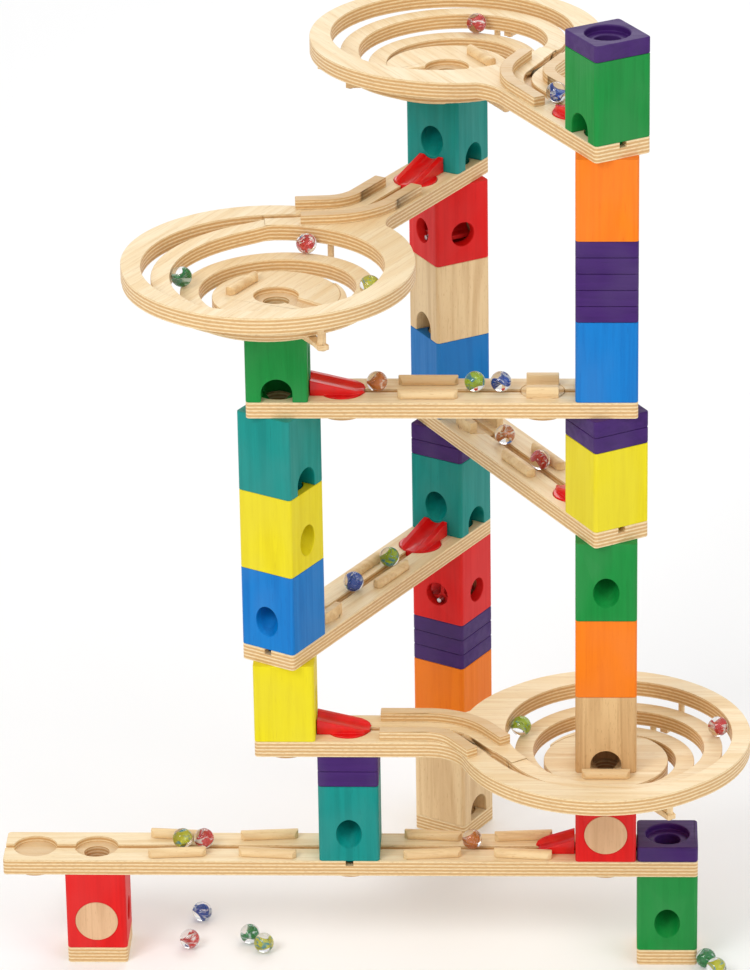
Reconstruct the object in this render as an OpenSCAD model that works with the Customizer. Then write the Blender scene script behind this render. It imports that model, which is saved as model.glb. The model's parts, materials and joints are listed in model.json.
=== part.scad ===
// A wooden marble run: square blocks stacked in towers, joined by grooved boards and
// three spiral tracks. Every block, riser and board has a round peg below and a round
// socket above, and one step of height (a board or a riser) is a fifth of a block.

/* [Blocks] */
// Width of a block, and of every board
block_w = 48; // [46:0.5:54]
// Height of a board or a riser; a block is five of these high
step = 13.2; // [12.8:0.1:16]
// Gap between two blocks that stand side by side in neighbouring sockets
block_gap = 1; // [0.6:0.1:12]
// Radius of the upright edges
edge_r = 3; // [1:0.5:4]
// Diameter of the bore that a marble falls through
bore_d = 20; // [18:0.5:24]
// Diameter of a side exit
exit_d = 20; // [17:0.5:22]
// Slope of a side exit below level
exit_slope = 38; // [30:1:45]
// Height of the middle of a side exit above the underside
exit_z = 23.7; // [21:0.1:28]
// Width of an arch
arch_w = 24; // [20:1:28]
// Height of an arch
arch_h = 19; // [16:0.5:23]

/* [Pegs and sockets] */
// Diameter of a socket
socket_d = 34.6; // [32:0.1:38]
// Depth of a socket
socket_depth = 5.2; // [4.4:0.1:6]
// Clearance round a peg, on the radius
peg_gap = 0.3; // [0.2:0.05:0.6]
// Clearance under a peg
seat_gap = 0.4; // [0.2:0.1:0.8]

/* [Boards] */
// Distance between the axes of two towers
tower_d = 252; // [246:1:310]
// Width of the groove that guides a marble
groove_w = 6; // [4:0.5:8]
// Depth of the groove
groove_depth = 4.5; // [3:0.5:5]
// Length of a guide stick
stick_l = 46; // [36:1:50]
// Width of a guide stick
stick_w = 9; // [6:0.5:10]
// Height of a guide stick
stick_h = 7; // [5:0.5:9]
// Free width between two guide sticks at their closest
stick_channel = 18; // [17:0.5:20]
// Angle that a guide stick of a funnel turns in
funnel_angle = 5; // [0:0.5:7]

/* [Ramps and plugs] */
// Width of a ramp
ramp_w = 22; // [19:0.5:26]
// Height of a ramp at the block
ramp_high = 12.6; // [10:0.1:14]
// Height of a ramp at its low end
ramp_low = 2; // [1:0.5:3]
// Length of a ramp past the middle of its socket
ramp_reach = 19; // [17.5:0.5:22]
// Length of the short ramp that only keys into the groove
short_ramp_l = 32; // [26:1:36]
// Gap between a ramp and the block
ramp_gap = 0.6; // [0.4:0.1:1]
// Diameter of the scoop along a ramp
scoop_d = 18; // [17:0.5:22]
// Length of the bars on a bridge plug
bar_l = 25; // [20:1:30]
// Width of the bars on a bridge plug
bar_w = 6; // [4:0.5:7]
// Height of the bars on a bridge plug
bar_h = 9; // [6:0.5:10]

/* [Spiral tracks] */
// Outer radius of the rim
rim_r = 112; // [104:1:116]
// Width of the rim
rim_w = 14.5; // [12:0.5:17]
// Width of the spiral arm
arm_w = 14.5; // [12:0.5:15]
// Gap between two turns of the arm
arm_gap = 7.5; // [6.5:0.5:8]
// How far the rim's centre lies from the tower, along the track and across it
rim_shift = [-1.7, 5.2];
// How much further out the rim goes where the track runs in
shoulder = 7.6; // [4:0.1:10]
// Radius of the disc in the middle
disc_r = 49; // [44:0.5:50]
// Radius of the fillet between rim and track on the outgoing side
fillet_out = 30; // [20:1:40]
// Radius of the fillet between rim and track on the other side
fillet_in = 35; // [20:1:45]
// Radius of the bend that turns the groove into the spiral
bend_r = 45; // [40:1:50]
// Angle of that bend
bend_angle = 55; // [50:1:60]
// Steps that the spiral arm falls
fall_steps = 2; // [2:1:2]
// Width of a fence
fence_w = 10; // [7:0.5:11]
// Height of a fence
fence_h = 8; // [6:0.5:10]
// Width of the channel between the fences
fence_channel = 23; // [18:0.5:24]
// Width of the bars that tie the turns together
tie_w = 7; // [5:0.5:9]
// Diameter of the pegs of those bars
tie_peg_d = 5; // [4:0.5:6]

/* [Switch blocks] */
// Diameter of the switch chamber
chamber_d = 34; // [32:0.5:36]
// Height of the middle of the chamber above the underside
chamber_z = 24; // [22:0.5:26]
// Thickness of the wall behind the chamber
back_wall = 8; // [6:0.5:10]
// Thickness of the face plug that closes the chamber
face_plug_t = 8; // [6:0.5:10]
// Diameter of the rocker's pin
pin_d = 4; // [3:0.5:5]
// Clearance of the pin in the rocker, on the radius
pin_gap = 0.06; // [0.03:0.01:0.1]
// Height of the pin below the middle of the chamber
pin_drop = 7; // [6:0.5:8]
// Half length of the rocker's tray
tray_l = 11; // [9:0.5:11]
// Thickness of the rocker's tray and divider
tray_t = 3.5; // [2.5:0.5:4]
// Height of the divider above the pin
divider_h = 20; // [17:0.5:21]
// Clearance at each end of the rocker
rocker_gap = 0.6; // [0.4:0.1:1]

/* [Marbles] */
// Diameter of a marble
marble_d = 16; // [14:0.5:16]
// Clearance under a marble
marble_gap = 0.3; // [0.2:0.05:0.5]

/* [Hidden] */
$fn = 64;
eps = 0.01;

block_h = 5 * step;
peg_d = socket_d - 2 * peg_gap;
peg_h = socket_depth - seat_gap;
pitch = block_w + block_gap;
marble_r = marble_d / 2;
// Height of a marble's centre over a board, where it sits on the groove's two edges
ride_h = sqrt(pow(marble_r, 2) - pow(groove_w / 2, 2)) + marble_gap / 2;

// Tower axes: L and R in front, C behind them, and A, B and E along the bottom board
bay = tower_d - pitch;
R = [0, 0];
L = [-tower_d, 0];
C = [-tower_d / 2, tower_d * sqrt(3) / 2];
A = [-2 * bay, 0];
B = [-bay, 0];
E = [pitch, 0];

// Directions of the boards that leave a tower
R_TO_C = 120;
L_TO_C = 60;
R_TO_L = 180;
C_TO_R = -60;

// Spiral track: the edge of each turn is a circle for part of a turn, and eases in
// by one turn's pitch over the rest
arm_from = 35;
arm_to = 690;
arm_flat = 640;
ease_from = -170;
ease_span = 250;
arm_step = 5;
arm_sink = 0.3;
arm_t = step - 2 * arm_sink;
turn_pitch = arm_w + arm_gap;
plate_z = fall_steps * step;
plate_top = plate_z + step;
rim_in = rim_r - rim_w;
shoulder_c = rim_shift + shoulder * [cos(40), sin(40)];
// Share of a turn's pitch that the edge has moved in at angle a
function eased(b) = b < ease_span ? (1 - cos(180 * b / ease_span)) / 2 : 1;
function turns(a) = let (n = floor((a - ease_from) / 360)) n + eased(a - ease_from - 360 * n);
// Radius of the outer wall of the gap at angle a, about the rim's centre
function wall_r(a) = rim_in + turn_pitch * (1 - turns(a));
function arm_r(a) = wall_r(a) - arm_gap - arm_w / 2;
// Height of the arm's top at angle a: it falls fast at first and then ever more gently
function arm_top(a) = plate_top - arm_sink
    - plate_z * pow(max(0, min(1, (a - arm_from) / (arm_flat - arm_from))), 0.55);
function about_rim(r, a) = [rim_shift.x + r * cos(a), rim_shift.y + r * sin(a)];

// The groove's bend starts where its straight end, carried on, meets the spiral's gap
gap_mouth = about_rim(wall_r(arm_from) - arm_gap / 2, arm_from);
bend_c = [gap_mouth.x + (gap_mouth.y - bend_r * (1 - cos(bend_angle))) / tan(bend_angle)
    + bend_r * sin(bend_angle), bend_r];
bend_end = bend_c + bend_r * [-sin(bend_angle), -cos(bend_angle)];
fence_from = bend_c.x + 36;
// How far the gap is cut on through the plate, back along the groove
slot_l = 3 * arm_gap;

// Switch block: the chamber runs from the face plug to the back wall
chamber_back = block_w / 2 - back_wall;
rocker_l = block_w - face_plug_t - back_wall - 2 * rocker_gap;
pin_z = chamber_z - pin_drop;

// The origin is under the middle of the whole run
function turned(p, a) = [p.x * cos(a) - p.y * sin(a), p.x * sin(a) + p.y * cos(a)];
x_min = A.x - pitch - block_w / 2;
x_max = rim_r + max(turned(rim_shift, R_TO_L).x, turned(shoulder_c, R_TO_L).x);
y_min = min(turned(rim_shift, R_TO_L).y, turned(shoulder_c, R_TO_L).y) - rim_r;
y_max = C.y + rim_r + max(turned(rim_shift, C_TO_R).y, turned(shoulder_c, C_TO_R).y);
middle = [(x_min + x_max) / 2, (y_min + y_max) / 2];

NATURAL = [0.93, 0.8, 0.6];
PLY = [0.94, 0.85, 0.69];
RED = [0.87, 0.2, 0.12];
ORANGE = [0.97, 0.56, 0.12];
YELLOW = [0.9, 0.86, 0.1];
GREEN = [0.18, 0.65, 0.33];
TEAL = [0, 0.58, 0.55];
BLUE = [0.02, 0.47, 0.76];
PURPLE = [0.33, 0.16, 0.45];
GLOSS_RED = [0.9, 0.12, 0.1];

// Puts a piece on a tower, a number of steps up, turned about the tower's axis
module on(tower, level, turn = 0)
    translate([tower.x - middle.x, tower.y - middle.y, level * step]) rotate([0, 0, turn])
        children();

module rounded_square(w) {
    square([w, w - 2 * edge_r], center = true);
    square([w - 2 * edge_r, w], center = true);
    for (x = [-1, 1], y = [-1, 1])
        translate([x, y] * (w / 2 - edge_r)) circle(r = edge_r);
}

module prism(h) linear_extrude(h) rounded_square(block_w);

module peg() translate([0, 0, -peg_h]) cylinder(d = peg_d, h = peg_h + eps);

// Cuts a socket into the top at height h
module socket(h) translate([0, 0, h - socket_depth]) cylinder(d = socket_d, h = socket_depth + 1);

module bore(from, to) translate([0, 0, from]) cylinder(d = bore_d, h = to - from);

// A side exit: it slopes down and out through the front
module exit_hole()
    translate([0, -block_w / 2, exit_z]) rotate([90 + exit_slope, 0, 0])
        translate([0, 0, -block_w / 2 / cos(exit_slope)])
            cylinder(d = exit_d, h = block_w / 2 / cos(exit_slope) + exit_d);

// An arch in the front, and the tunnel behind it
module arch() {
    translate([-arch_w / 2, -block_w / 2 - 1, -1])
        cube([arch_w, block_w / 2 + 1, arch_h - arch_w / 2 + 1]);
    translate([0, -block_w / 2 - 1, arch_h - arch_w / 2]) rotate([-90, 0, 0])
        cylinder(d = arch_w, h = block_w / 2 + 1);
}

// A block. Faces are named by their angle from the front: 0 front, 90 right, 180 back,
// 270 left. With an exit, the top bore ends at the exit.
module block(exits = [], arches = []) {
    turn_z = exit_z + block_w / 2 * tan(exit_slope);
    difference() {
        union() {
            prism(block_h);
            peg();
        }
        socket(block_h);
        if (len(exits) > 0)
            bore(turn_z - exit_d / 4, block_h);
        else
            bore(-peg_h - 1, block_h);
        if (len(exits) > 0 && len(arches) > 0)
            bore(-peg_h - 1, arch_h / 2);
        for (a = exits)
            rotate([0, 0, a]) exit_hole();
        for (a = arches)
            rotate([0, 0, a]) arch();
    }
}

// A switch block: a chamber behind the front face, and level exits on the faces listed
module switch_block(exits) {
    difference() {
        union() {
            prism(block_h);
            peg();
        }
        socket(block_h);
        bore(chamber_z, block_h);
        translate([0, -block_w / 2 - 1, chamber_z]) rotate([-90, 0, 0])
            cylinder(d = chamber_d, h = block_w / 2 + chamber_back + 1);
        for (a = exits)
            rotate([0, 0, a]) translate([0, 0, chamber_z]) rotate([90, 0, 0])
                cylinder(d = exit_d, h = block_w);
        translate([0, 0, pin_z]) rotate([-90, 0, 0]) cylinder(d = pin_d, h = block_w / 2 - 3);
    }
}

// The rocker of a switch block: a tray with a divider, on a hub
module rocker() {
    y0 = -block_w / 2 + face_plug_t + rocker_gap;
    translate([0, y0, pin_z]) rotate([-90, 0, 0]) difference() {
        union() {
            cylinder(d = pin_d + 5, h = rocker_l);
            translate([-tray_l, -tray_t / 2, 0]) cube([2 * tray_l, tray_t, rocker_l]);
            translate([-tray_t / 2, -divider_h, 0]) cube([tray_t, divider_h, rocker_l]);
        }
        translate([0, 0, -1]) cylinder(d = pin_d + 2 * pin_gap, h = rocker_l + 2);
    }
}

module rocker_pin() {
    y0 = -block_w / 2 + face_plug_t / 2;
    translate([0, y0, pin_z]) rotate([-90, 0, 0]) cylinder(d = pin_d, h = block_w / 2 - 3 - y0);
}

module face_plug() translate([0, -block_w / 2, 0]) rotate([-90, 0, 0]) difference() {
    translate([0, -chamber_z, 0]) cylinder(d = chamber_d, h = face_plug_t);
    translate([0, -pin_z, face_plug_t / 2]) cylinder(d = pin_d, h = face_plug_t);
}

module riser() difference() {
    union() {
        prism(step);
        peg();
    }
    socket(step);
    bore(-peg_h - 1, step);
}

module base_plate() difference() {
    prism(step);
    socket(step);
}

// A board with sockets at the places listed along x, and pegs under all of them. The
// sockets listed as open have a bore through.
module board(from, to, sockets, open) difference() {
    union() {
        linear_extrude(step) board_outline(from, to);
        for (x = sockets)
            translate([x, 0, 0]) peg();
    }
    for (x = sockets)
        translate([x, 0, 0]) socket(step);
    for (x = open)
        translate([x, 0, 0]) bore(-peg_h - 1, step);
    translate([from - 1, -groove_w / 2, step - groove_depth]) cube([to - from + 2, groove_w, step]);
}

module board_outline(from, to) {
    translate([from, -block_w / 2 + edge_r]) square([to - from, block_w - 2 * edge_r]);
    translate([from + edge_r, -block_w / 2]) square([to - from - 2 * edge_r, block_w]);
    for (x = [from + edge_r, to - edge_r], y = [-1, 1])
        translate([x, y * (block_w / 2 - edge_r)]) circle(r = edge_r);
}

module tower_board() board(-block_w / 2, tower_d + block_w / 2,
    [0, pitch, bay, tower_d], [0, tower_d]);

// Fillet between a rim circle at c and the track's edge at y = side * block_w / 2
module web(c, r, side) {
    fx = c.x + sqrt(pow(rim_r + r, 2) - pow(side * (block_w / 2 + r) - c.y, 2));
    fy = side * (block_w / 2 + r);
    difference() {
        polygon([c, [fx, fy], [fx, 0], [c.x, 0]]);
        translate([fx, fy]) circle(r = r, $fn = 128);
    }
}

module spiral_plate() difference() {
    union() {
        translate(rim_shift) circle(r = rim_r, $fn = 180);
        translate(shoulder_c) circle(r = rim_r, $fn = 180);
        translate([rim_r / 2, 0]) board_outline(0, tower_d + block_w / 2 - rim_r / 2);
        web(shoulder_c, fillet_out, 1);
        web(rim_shift, fillet_in, -1);
    }
    polygon([for (a = [arm_from : arm_step : arm_from + 360]) about_rim(wall_r(a), a)]);
    translate(gap_mouth) rotate(-bend_angle) {
        translate([-1, -arm_gap / 2]) square([slot_l + 1, arm_gap]);
        translate([slot_l, 0]) circle(d = arm_gap);
    }
}

// The groove in the track: straight, then a bend, then straight into the spiral's gap
module spiral_groove() {
    translate([bend_c.x, -groove_w / 2]) square([tower_d + block_w - bend_c.x, groove_w]);
    bent_strip(bend_r - groove_w / 2, bend_r + groove_w / 2);
    translate(bend_end) rotate(90 + 90 - bend_angle) translate([0, -groove_w / 2])
        square([norm(bend_end - gap_mouth), groove_w]);
}

// Part of a ring about the bend's centre, over the bend's angle
module bent_strip(r0, r1) translate(bend_c) intersection() {
    difference() {
        circle(r = r1, $fn = 128);
        circle(r = r0, $fn = 128);
    }
    polygon([[0, 0], 2 * r1 * [0, -1], 2 * r1 * [-1, -1],
        2 * r1 * [-sin(bend_angle), -cos(bend_angle)]]);
}

// The spiral arm, swept in rings of four points
module spiral_arm() {
    angles = [for (a = [arm_from - 4 : arm_step : arm_to]) a];
    n = len(angles);
    function ring(a) = [for (c = [[-1, 0], [1, 0], [1, 1], [-1, 1]])
        let (p = about_rim(arm_r(a) + c.x * arm_w / 2, a))
        [p.x, p.y, arm_top(a) - arm_t * (1 - c.y)]];
    sides = [for (i = [0 : n - 2], k = [0 : 3], half = [0, 1])
        let (p = 4 * i + k, q = 4 * i + (k + 1) % 4)
        half == 0 ? [p, q + 4, p + 4] : [p, q, q + 4]];
    caps = [[0, 2, 1], [0, 3, 2],
        [4 * n - 4, 4 * n - 3, 4 * n - 2], [4 * n - 4, 4 * n - 2, 4 * n - 1]];
    polyhedron([for (a = angles) each ring(a)], concat(sides, caps));
}

module spiral() difference() {
    union() {
        translate([0, 0, plate_z]) linear_extrude(step) spiral_plate();
        spiral_arm();
        cylinder(r = disc_r, h = step);
        peg();
        for (x = [bay, tower_d])
            translate([x, 0, plate_z]) peg();
    }
    socket(step);
    bore(-peg_h - 1, step);
    // The scoop that leads a marble from the last turn into the socket
    rotate([0, 0, -98]) translate([socket_d / 2 - 2, 0, step + marble_r / 3]) rotate([0, 90, 0])
        cylinder(r = marble_r, h = disc_r - socket_d / 2 - 2);
    tie_pegs();
    for (x = [bay, tower_d])
        translate([x, 0, plate_z]) socket(step);
    translate([tower_d, 0, plate_z]) bore(-peg_h - 1, step);
    translate([0, 0, plate_top - groove_depth]) linear_extrude(step) spiral_groove();
}

// A fence beside the groove: side 1 is inside the bend and -1 is outside it. It starts
// straight, follows the bend and ends straight.
module fence(side, straight) {
    far = fence_channel / 2 + fence_w;
    r0 = side > 0 ? bend_r - far : bend_r + fence_channel / 2;
    translate([bend_c.x, bend_c.y, plate_top]) {
        translate([0, -r0 - fence_w, 0]) cube([fence_from - bend_c.x, fence_w, fence_h]);
        rotate([0, 0, -90 - bend_angle]) rotate_extrude(angle = bend_angle, $fn = 128)
            translate([r0, 0]) square([fence_w, fence_h]);
        rotate([0, 0, -bend_angle]) translate([-straight, -r0 - fence_w, 0])
            cube([straight, fence_w, fence_h]);
    }
}

module fences() {
    fence(1, 25);
    fence(-1, 22);
}

// Ties hold neighbouring turns together from below. Each reaches from the arm at this
// angle out to the turn before it.
TIES = [117, 235, 360, 485, 603];
tie_t = 4;
tie_depth = 4;
function arm_under(a) = arm_top(a) - arm_t;
function tie_in(a) = arm_r(a);
function tie_out(a) = wall_r(a) + arm_w / 2;

module about_rim_centre(a) translate([rim_shift.x, rim_shift.y, 0]) rotate([0, 0, a]) children();

module tie_peg(r, from, under) translate([r, 0, from])
    cylinder(d = tie_peg_d, h = under + tie_depth - from);

// The ties' round pegs, which go up into holes in the turns
module tie_pegs() for (a = TIES) about_rim_centre(a) {
    tie_peg(tie_in(a), arm_under(a) - tie_t - 2, arm_under(a));
    tie_peg(tie_out(a), arm_under(a) - tie_t - 2, arm_under(a - 360));
}

module ties() {
    tie_pegs();
    for (a = TIES)
        about_rim_centre(a) translate([tie_in(a) - tie_w / 2, -tie_w / 2, arm_under(a) - tie_t - 1])
            cube([tie_out(a) - tie_in(a) + tie_w, tie_w, tie_t]);
}

// A half-round stick with pointed ends, lying along x
module stick(l = stick_l) intersection() {
    translate([-l / 2, 0, stick_h - stick_w / 2]) rotate([0, 90, 0]) cylinder(d = stick_w, h = l);
    linear_extrude(stick_h) polygon([for (s = [-1, 1])
        each [[s * (l / 2 - 3), -s * stick_w / 2], [s * l / 2, -s * stick_w / 6],
            [s * l / 2, s * stick_w / 6], [s * (l / 2 - 3), s * stick_w / 2]]]);
}

// A pair of sticks either side of the groove, standing on a board whose top is at step.
// The pair closes towards +x for a positive angle and towards -x for a negative one.
module stick_pair(x, angle = 0) {
    spread = stick_channel / 2 + stick_w / 2 + stick_l / 2 * sin(abs(angle));
    for (s = [-1, 1])
        translate([x, s * spread, step]) rotate([0, 0, -s * angle]) stick();
}

// A plug that carries the groove over a socket, between two bars
module bridge_plug() difference() {
    union() {
        translate([0, 0, seat_gap - socket_depth]) cylinder(d = peg_d, h = socket_depth - seat_gap);
        for (s = [-1, 1])
            translate([-bar_l / 2, s * (stick_channel + bar_w) / 2 - bar_w / 2, 0])
                cube([bar_l, bar_w, bar_h]);
    }
    translate([-socket_d, -groove_w / 2, 2 - peg_h]) cube([2 * socket_d, groove_w, step]);
}

// The body of a ramp: high at +x, low at -x, with a scoop along its top
module chute(high_x, low_x) difference() {
    intersection() {
        rotate([90, 0, 0]) translate([0, 0, -ramp_w / 2]) linear_extrude(ramp_w)
            polygon([[high_x, 0], [high_x, ramp_high], [low_x, ramp_low], [low_x, 0]]);
        linear_extrude(ramp_high + 1) union() {
            translate([low_x + ramp_w / 2, -ramp_w / 2])
                square([high_x - low_x - ramp_w / 2, ramp_w]);
            translate([low_x + ramp_w / 2, 0]) circle(d = ramp_w);
        }
    }
    slope = atan((ramp_high - ramp_low) / (high_x - low_x));
    translate([low_x, 0, ramp_low + scoop_d / 2 - 2.6]) rotate([0, 90 - slope, 0])
        translate([0, 0, -scoop_d]) cylinder(d = scoop_d, h = high_x - low_x + 2 * scoop_d);
}

module ramp() {
    chute(pitch - block_w / 2 - ramp_gap, -ramp_reach);
    translate([0, 0, seat_gap - socket_depth])
        cylinder(d = peg_d, h = socket_depth - seat_gap + ramp_low / 2);
}

// The ramp on the bottom board stands beside the block and only keys into the groove
module short_ramp() {
    chute(0, -short_ramp_l);
    translate([-short_ramp_l + 4, -groove_w / 2 + peg_gap, -groove_depth / 2])
        cube([short_ramp_l - 8, groove_w - 2 * peg_gap, groove_depth / 2 + 1]);
}

module marble() sphere(d = marble_d);

// A marble on a board's groove, x along the board
module board_marble(x) translate([x, 0, step + ride_h]) marble();

// A marble in a spiral's gap at angle a: over the arm's edge and against the wall
module gap_marble(a) {
    p = about_rim(wall_r(a) - marble_r - marble_gap, a);
    translate([p.x, p.y, arm_top(a) + marble_r + marble_gap]) marble();
}

// Guide sticks stand this far from the tower that feeds the board, and on the bottom
// board this far from the nearest tower
STICKS_AT = 115;
FUNNEL_AT = 65.5;
disc_stick_y = 31;

// The boards' marbles stand at these distances from the board's first tower
S_MARBLES = [76, 151, 171];
D_MARBLES = [102, 156];
E_MARBLES = [104, 161];
B_MARBLES = [106, 320, 337];
FLOOR_MARBLES = [[-327, 47], [-334, 1], [-286, 10], [-274, -5], [80, -27], [88, -42]];

module base_plates() color(PLY) {
    on(A, 0) base_plate();
    on(E, 0) base_plate();
    on(C, 0, -30) base_plate();
}

module risers() color(PURPLE) {
    for (i = [12, 13]) on(B, i) riser();
    for (i = [34, 35]) on(R, i, 30) riser();
    for (i = [42 : 46]) on(R, i) riser();
    on(C, 6, -30) riser();
    for (i = [12 : 14]) on(C, i, -30) riser();
    for (i = [26, 27]) on(C, i, -30) riser();
}

module top_riser() color(PURPLE) on(R, 58, 30) riser();
module free_riser() color(PURPLE) on(E, 7) riser();

module a_red_block() color(RED) on(A, 1) switch_block([90, 180, 270]);
module e_green_block() color(GREEN) on(E, 1) block(exits = [0]);
module b_teal_block() color(TEAL) on(B, 7) block(exits = [0]);
module r_red_block() color(RED) on(R, 7) switch_block([90, 180, 270]);
module r_natural_block() color(NATURAL) on(R, 13) block(arches = [0]);
module r_orange_block() color(ORANGE) on(R, 18) block();
module r_green_block() color(GREEN) on(R, 23) block(exits = [0]);
module r_yellow_block() color(YELLOW) on(R, 29, 30) block(exits = [180]);
module r_blue_block() color(BLUE) on(R, 37) block(arches = [270]);
module r_upper_orange_block() color(ORANGE) on(R, 47) block();
module r_top_green_block() color(GREEN) on(R, 53, 30) block(exits = [180], arches = [270]);
module l_yellow_block() color(YELLOW) on(L, 15) block(exits = [90]);
module l_blue_block() color(BLUE) on(L, 21, -30) block(exits = [0], arches = [180]);
module l_upper_yellow_block() color(YELLOW) on(L, 26, -30) block(exits = [90]);
module l_teal_block() color(TEAL) on(L, 31, -30) block(arches = [90]);
module l_green_block() color(GREEN) on(L, 37) block(exits = [90], arches = [0]);
module c_natural_block() color(NATURAL) on(C, 1, -30) block(arches = [90]);
module c_orange_block() color(ORANGE) on(C, 7, -30) block();
module c_red_block() color(RED) on(C, 15, 150) switch_block([90, 180, 270]);
module c_teal_block() color(TEAL) on(C, 21, -30) block(exits = [0], arches = [90]);
module c_blue_block() color(BLUE) on(C, 29, 30) block(arches = [0]);
module c_upper_natural_block() color(NATURAL) on(C, 34, 30) block(arches = [270]);
module c_upper_red_block() color(RED) on(C, 39, 120) switch_block([90, 180, 270]);
module c_top_teal_block() color(TEAL) on(C, 45, -30) block(exits = [0], arches = [90]);

// The bottom board is two bays long, and has a cross groove at B
module bottom_board() color(PLY) on(R, 6) difference() {
    board(A.x - pitch - block_w / 2, E.x + block_w / 2,
        [A.x - pitch, A.x, B.x, 0, E.x], [A.x, E.x]);
    translate([B.x - groove_w / 2, -block_w / 2 - 1, step - groove_depth])
        cube([groove_w, block_w + 2, step]);
}
module board_l_to_c() color(PLY) on(L, 20, L_TO_C) tower_board();
module board_c_to_r() color(PLY) on(R, 28, R_TO_C) tower_board();
module board_l_to_r() color(PLY) on(L, 36) tower_board();

module low_spiral() color(PLY) on(R, 12, R_TO_L) spiral();
module middle_spiral() color(PLY) on(L, 42, L_TO_C) spiral();
module top_spiral() color(PLY) on(C, 50, C_TO_R) spiral();

module on_spirals() {
    on(R, 12, R_TO_L) children();
    on(L, 42, L_TO_C) children();
    on(C, 50, C_TO_R) children();
}
module spiral_fences() color(PLY) on_spirals() fences();
module spiral_ties() color(NATURAL) on_spirals() ties();

module guide_sticks() color(NATURAL) {
    on(L, 36) stick_pair(STICKS_AT);
    on(L, 20, L_TO_C) stick_pair(tower_d - STICKS_AT);
    on(R, 28, R_TO_C) stick_pair(STICKS_AT);
    for (bay_start = [0, bay]) on(R, 6, R_TO_L) {
        stick_pair(bay_start + FUNNEL_AT, funnel_angle);
        stick_pair(bay_start + bay - FUNNEL_AT, -funnel_angle);
    }
    on_spirals() translate([0, disc_stick_y, step]) stick(stick_l - 8);
}

module bridge_plugs() color(NATURAL) {
    on(L, 37) translate([bay, 0, 0]) bridge_plug();
    on(L, 21, L_TO_C) translate([pitch, 0, 0]) bridge_plug();
    on(R, 29, R_TO_C) translate([bay, 0, 0]) bridge_plug();
}

// Each ramp's high end faces its tower
module ramp_at(tower, level, direction)
    on(tower, level, direction) translate([pitch, 0, 0]) rotate([0, 0, 180]) ramp();

module ramps() color(GLOSS_RED) {
    ramp_at(L, 37, 0);
    ramp_at(C, 21, L_TO_C + 180);
    ramp_at(R, 29, R_TO_C);
    ramp_at(L, 15, 0);
    ramp_at(C, 45, L_TO_C + 180);
    ramp_at(R, 53, R_TO_C);
    on(R, 7) translate([-block_w / 2 - ramp_gap, 0, 0]) short_ramp();
}

module a_rocker() color(NATURAL) on(A, 1) rocker();
module r_rocker() color(NATURAL) on(R, 7) rocker();
module c_rocker() color(RED) on(C, 15, 150) rocker();
module c_upper_rocker() color(RED) on(C, 39, 120) rocker();
module in_switch_blocks() {
    on(A, 1) children();
    on(R, 7) children();
    on(C, 15, 150) children();
    on(C, 39, 120) children();
}
module rocker_pins() color("silver") in_switch_blocks() rocker_pin();
module face_plugs() color(NATURAL) in_switch_blocks() face_plug();

module marble_s1() color("orange") on(L, 36) board_marble(S_MARBLES[0]);
module marble_s2() color("yellowgreen") on(L, 36) board_marble(S_MARBLES[1]);
module marble_s3() color("royalblue") on(L, 36) board_marble(S_MARBLES[2]);
module marble_d1() color("royalblue") on(L, 20, L_TO_C) board_marble(D_MARBLES[0]);
module marble_d2() color("yellowgreen") on(L, 20, L_TO_C) board_marble(D_MARBLES[1]);
module marble_e1() color("red") on(R, 28, R_TO_C) board_marble(E_MARBLES[0]);
module marble_e2() color("orange") on(R, 28, R_TO_C) board_marble(E_MARBLES[1]);
module marble_b1() color("orange") on(R, 6, R_TO_L) board_marble(B_MARBLES[0]);
module marble_b2() color("tomato") on(R, 6, R_TO_L) board_marble(B_MARBLES[1]);
module marble_b3() color("yellow") on(R, 6, R_TO_L) board_marble(B_MARBLES[2]);
module low_spiral_marbles() color("tomato") on(R, 12, R_TO_L) {
    gap_marble(193);
    gap_marble(336);
}
module middle_spiral_marbles() color("green") on(L, 42, L_TO_C) {
    gap_marble(281);
    gap_marble(369);
    gap_marble(475);
}
module top_spiral_marbles() color("blue") on(C, 50, C_TO_R) {
    gap_marble(494);
    translate([175, 0, plate_top + ride_h]) marble();
}
module floor_marbles() color("green") for (p = FLOOR_MARBLES)
    on(p, 0) translate([0, 0, marble_r]) marble();

base_plates();
risers();
top_riser();
free_riser();
a_red_block();
e_green_block();
b_teal_block();
r_red_block();
r_natural_block();
r_orange_block();
r_green_block();
r_yellow_block();
r_blue_block();
r_upper_orange_block();
r_top_green_block();
l_yellow_block();
l_blue_block();
l_upper_yellow_block();
l_teal_block();
l_green_block();
c_natural_block();
c_orange_block();
c_red_block();
c_teal_block();
c_blue_block();
c_upper_natural_block();
c_upper_red_block();
c_top_teal_block();
bottom_board();
board_l_to_c();
board_c_to_r();
board_l_to_r();
low_spiral();
middle_spiral();
top_spiral();
spiral_fences();
spiral_ties();
guide_sticks();
bridge_plugs();
ramps();
a_rocker();
r_rocker();
c_rocker();
c_upper_rocker();
rocker_pins();
face_plugs();
marble_s1();
marble_s2();
marble_s3();
marble_d1();
marble_d2();
marble_e1();
marble_e2();
marble_b1();
marble_b2();
marble_b3();
low_spiral_marbles();
middle_spiral_marbles();
top_spiral_marbles();
floor_marbles();
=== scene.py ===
"""Looks for a wooden marble run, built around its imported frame.

The run is a kit: stained blocks stacked in towers, birch plywood boards and spiral tracks
between them, beech sticks and plugs, gloss red ramps, and glass marbles.
"""

import json
import logging
import math
from dataclasses import dataclass, field
from enum import Enum

import bpy
import numpy as np
from mathutils import Matrix, Vector

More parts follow.
